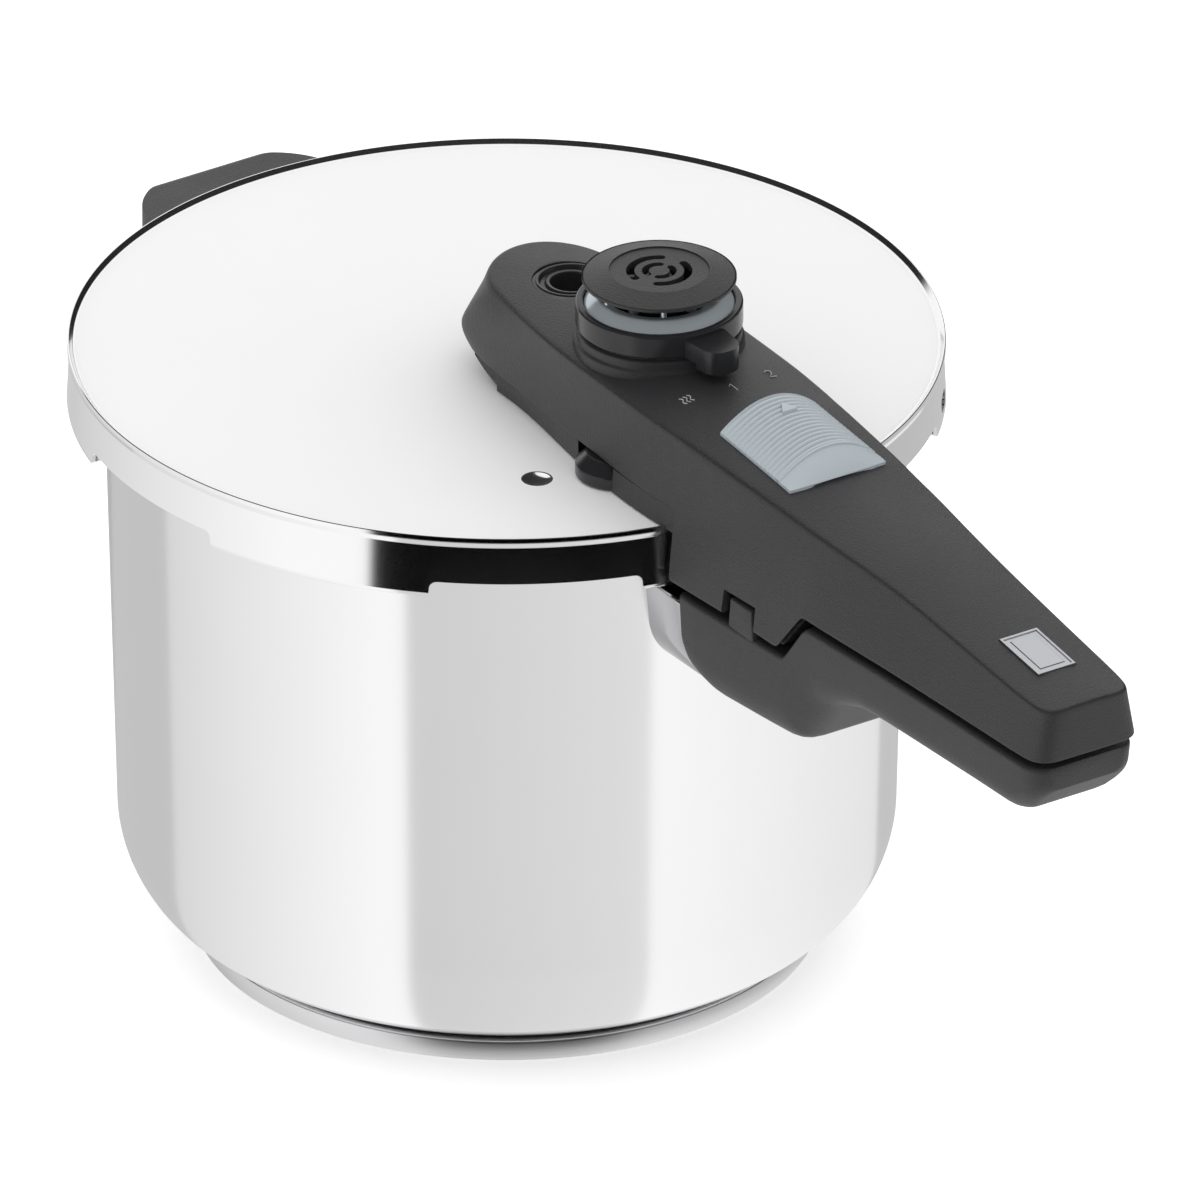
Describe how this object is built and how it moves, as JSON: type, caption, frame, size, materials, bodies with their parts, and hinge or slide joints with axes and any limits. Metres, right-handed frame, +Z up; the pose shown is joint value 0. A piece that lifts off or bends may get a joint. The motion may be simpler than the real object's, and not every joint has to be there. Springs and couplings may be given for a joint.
{
  "type": "stovetop pressure cooker",
  "caption": "Stovetop pressure cooker: straight steel pot, bayonet lid whose long handle carries a selector valve, pressure indicator and sliding lock button, and a short side handle.",
  "frame": {"origin": "middle of the base's underside, on the pot's axis", "axes": "+Z up along the pot's axis, +X out along the long handle, +Y to that handle's left"},
  "size_m": [0.4346, 0.242, 0.2323],
  "materials": {
    "polished_steel": "mirror polished stainless steel",
    "satin_steel": "satin stainless steel",
    "aluminium_core": "plain aluminium disc",
    "black_phenolic": "fine grained black moulded phenolic",
    "grey_button": "pale blue-grey moulded plastic",
    "grey_ring": "satin blue-grey moulded plastic",
    "black_nylon": "black moulded nylon",
    "seal_rubber": "pale grey silicone rubber",
    "red_rubber": "red silicone rubber",
    "brass_part": "machined brass",
    "zinc_steel": "zinc plated steel",
    "badge_metal": "satin aluminium"
  },
  "bodies": {
    "pot": {"pot_shell": "polished_steel", "base_core": "aluminium_core", "base_cap": "satin_steel", "pot_handle": "black_phenolic", "pot_handle_bracket": "satin_steel", "pot_handle_ferrule": "polished_steel", "pot_handle_screw": "zinc_steel", "side_handle": "black_phenolic", "side_handle_bracket": "satin_steel", "side_handle_screw": "zinc_steel"},
    "gasket": {"lid_gasket": "seal_rubber"},
    "lid": {"lid_shell": "polished_steel", "lid_handle_cover": "black_phenolic", "lid_handle_base": "black_phenolic", "lid_studs": "satin_steel", "lid_stud_nuts": "zinc_steel", "cover_screws": "zinc_steel", "handle_badge": "badge_metal", "valve_body": "satin_steel", "valve_seal": "seal_rubber", "valve_nut": "satin_steel", "valve_strainer": "satin_steel", "selector_snap_ring": "zinc_steel", "indicator_bezel": "black_nylon", "indicator_grommet": "red_rubber", "relief_body": "black_nylon", "relief_seal": "seal_rubber", "relief_nut": "satin_steel", "valve_spring": "zinc_steel", "relief_spring": "zinc_steel", "lock_spring": "zinc_steel"},
    "selector": {"selector_collar": "black_nylon", "selector_ring": "grey_ring"},
    "valve": {"valve_cap": "black_nylon", "valve_cap_pins": "polished_steel", "valve_stem": "satin_steel"},
    "indicator": {"indicator_pin": "satin_steel", "indicator_clip": "zinc_steel"},
    "relief": {"relief_plunger": "brass_part"},
    "lock": {"lock_button": "grey_button", "lock_bar": "black_nylon", "lock_screws": "zinc_steel"}
  },
  "joints": [
    {"name": "lid_lift", "type": "slide", "parent": "pot", "child": "gasket", "axis": [0, 0, 1], "range_m": [0, 0.12]},
    {"name": "lid_turn", "type": "hinge", "parent": "gasket", "child": "lid", "pos_m": [0, 0, 0.1787], "axis": [0, 0, 1], "range_deg": [0, 30]},
    {"name": "selector_turn", "type": "hinge", "parent": "lid", "child": "selector", "pos_m": [0.0749, 0, 0.2187], "axis": [0, 0, 1], "range_deg": [-23, 23]},
    {"name": "valve_rise", "type": "slide", "parent": "selector", "child": "valve", "axis": [0, 0, 1], "range_m": [0, 0.003], "stiffness_N_per_m": 900, "springref_m": -0.004, "deforming": ["valve_spring"]},
    {"name": "indicator_rise", "type": "slide", "parent": "lid", "child": "indicator", "axis": [0, 0, 1], "range_m": [0, 0.008]},
    {"name": "relief_rise", "type": "slide", "parent": "lid", "child": "relief", "axis": [0, 0, 1], "range_m": [0, 0.002], "stiffness_N_per_m": 900, "springref_m": -0.003, "deforming": ["relief_spring"]},
    {"name": "lock_slide", "type": "slide", "parent": "lid", "child": "lock", "axis": [-0.9954, 0, 0.0958], "range_m": [0, 0.006], "stiffness_N_per_m": 400, "springref_m": -0.004, "deforming": ["lock_spring"]}
  ]
}
